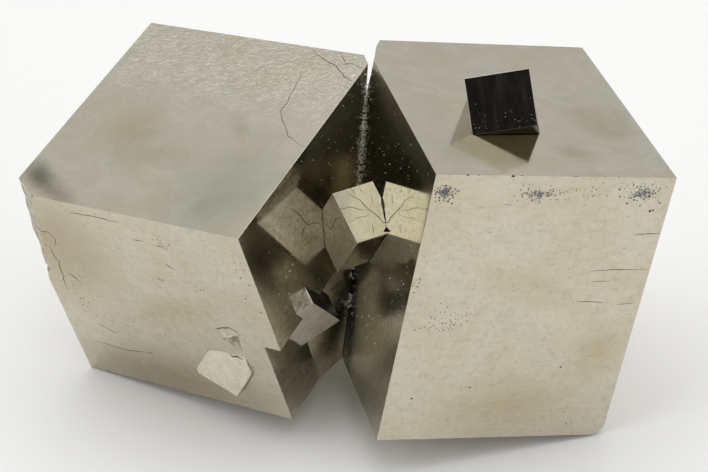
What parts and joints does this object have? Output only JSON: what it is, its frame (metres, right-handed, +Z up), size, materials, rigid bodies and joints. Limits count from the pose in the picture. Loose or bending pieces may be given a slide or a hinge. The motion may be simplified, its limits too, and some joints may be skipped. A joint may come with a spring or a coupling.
{
  "type": "pyrite specimen",
  "caption": "Cluster of intergrown brassy grey metallic cubic crystals: large cubes leaning together in an open V, with small cubes grown into their faces, free-standing on its corners.",
  "frame": {"origin": "on the ground under the middle of the group's bounding box", "axes": "+Z up, +X to the right across the front with the left cube at -X and the right cube at +X, +Y to the back; the V between the large cubes opens to -Y"},
  "size_m": [0.0678, 0.0446, 0.0406],
  "materials": {
    "pyrite": "metallic, silky with fine striations",
    "pyrite_bright": "metallic, bright",
    "pyrite_mirror": "metallic, mirror-like"
  },
  "bodies": {
    "root": {"large_cube_left": "pyrite", "large_cube_right": "pyrite", "top_cube": "pyrite_mirror", "valley_cube": "pyrite_bright", "inner_cube": "pyrite", "front_cube": "pyrite_bright"}
  },
  "joints": []
}
